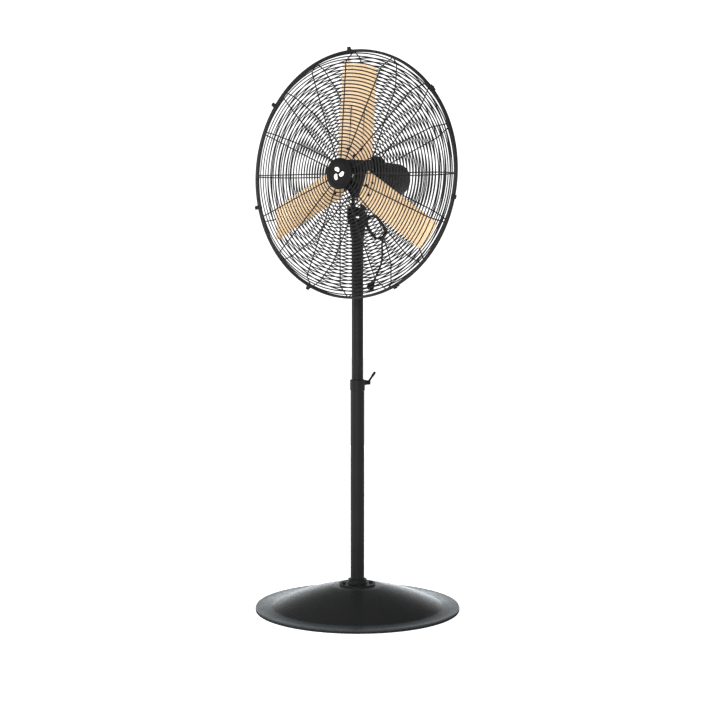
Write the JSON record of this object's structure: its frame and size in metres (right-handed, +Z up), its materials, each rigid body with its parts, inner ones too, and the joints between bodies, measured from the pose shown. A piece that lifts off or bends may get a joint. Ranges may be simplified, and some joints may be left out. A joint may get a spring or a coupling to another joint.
{
  "type": "pedestal fan",
  "caption": "Free-standing pedestal fan: round domed base, telescoping pole with a height lock, tilting motor head, paddle blades in a round wire cage, tied cord with plug.",
  "frame": {"origin": "on the floor, on the pole's axis, at the centre of the round base", "axes": "+Z up along the pole; the fan blows towards -Y; +X is to the right when looking along +Y, from in front of the fan"},
  "size_m": [0.8531, 0.723, 1.9493],
  "materials": {
    "black_paint": "satin powder coat",
    "black_wire": "satin powder coat",
    "blade_gold": "satin lacquer",
    "black_plastic": "fine texture",
    "zinc": "bright zinc plate",
    "steel": "bare ground steel",
    "lamination": "stacked laminations",
    "copper": "enamelled copper wire",
    "cast_iron": "rough casting",
    "rubber": "matt",
    "cord_jacket": "soft PVC",
    "nylon": "natural nylon"
  },
  "bodies": {
    "stand": {"base_pan": "black_paint", "base_edge_trim": "rubber", "base_ballast": "cast_iron", "base_backing_plate": "steel", "base_collar": "black_paint", "collar_set_screw": "zinc", "collar_bolts": "black_paint", "lower_tube": "black_paint", "clamp_bushing": "nylon", "clamp_collar": "black_paint"},
    "height_lever": {"lock_screw": "black_paint", "lock_handle": "black_plastic"},
    "mast": {"upper_tube": "black_paint", "upper_tube_guide": "nylon"},
    "swivel": {"pole_head": "black_paint", "tilt_bolt": "zinc"},
    "swivel_knob": {"swivel_screw": "zinc"},
    "tilt_knob": {"tilt_wing_nut": "zinc"},
    "head": {"tilt_bracket": "black_paint", "motor_foot": "black_paint", "mount_bolts": "zinc", "motor_housing": "black_paint", "motor_front_shield": "black_paint", "motor_rear_shield": "black_paint", "motor_rear_cover": "black_paint", "motor_bearings": "steel", "stator_core": "lamination", "stator_windings": "copper", "terminal_box": "black_plastic", "run_capacitor": "black_plastic", "speed_switch": "black_plastic", "front_grille_spokes": "black_wire", "front_grille_rings": "black_wire", "rear_grille_spokes": "black_wire", "rear_grille_rings": "black_wire", "front_rim": "black_wire", "rear_rim": "black_wire", "rim_clips": "black_paint", "clip_screws": "black_paint", "badge_disc": "black_plastic", "badge_back_plate": "black_paint", "rear_grille_plate": "black_paint", "guard_screws": "zinc", "strain_relief": "rubber", "cord_lead": "cord_jacket", "cord_hank": "cord_jacket", "cord_tie": "black_plastic", "cord_tail": "cord_jacket", "plug_body": "black_plastic", "plug_pins": "zinc"},
    "speed_dial": {"speed_knob": "black_plastic"},
    "rotor": {"rotor_shaft": "steel", "rotor_core": "lamination", "hub_spider": "black_paint", "blade_1": "blade_gold", "blade_2": "blade_gold", "blade_3": "blade_gold", "blade_rivets": "black_paint", "hub_nut": "zinc"}
  },
  "joints": [
    {"name": "height_slide", "type": "slide", "parent": "stand", "child": "mast", "axis": [0, 0, 1], "range_m": [-0.3, 0.12]},
    {"name": "height_lever_turn", "type": "hinge", "parent": "stand", "child": "height_lever", "pos_m": [0, 0, 0.803], "axis": [0.5, 0.866, 0], "range_deg": [0, 270]},
    {"name": "head_swivel", "type": "hinge", "parent": "mast", "child": "swivel", "pos_m": [0, 0, 1.358], "axis": [0, 0, 1], "range_deg": [-90, 90]},
    {"name": "swivel_screw_turn", "type": "hinge", "parent": "swivel", "child": "swivel_knob", "pos_m": [0, 0.04, 1.338], "axis": [0, 1, 0], "range_deg": [0, 270]},
    {"name": "head_tilt", "type": "hinge", "parent": "swivel", "child": "head", "pos_m": [0, 0, 1.403], "axis": [-1, 0, 0], "range_deg": [-10, 30]},
    {"name": "tilt_nut_turn", "type": "hinge", "parent": "swivel", "child": "tilt_knob", "pos_m": [-0.035, 0, 1.403], "axis": [-1, 0, 0], "range_deg": [0, 270]},
    {"name": "rotor_spin", "type": "hinge", "parent": "head", "child": "rotor", "pos_m": [0.071, -0.134, 1.52], "axis": [0, -1, 0], "continuous": true},
    {"name": "speed_knob_turn", "type": "hinge", "parent": "head", "child": "speed_dial", "pos_m": [0.071, 0.158, 1.52], "axis": [0, 1, 0], "range_deg": [0, 135]}
  ]
}
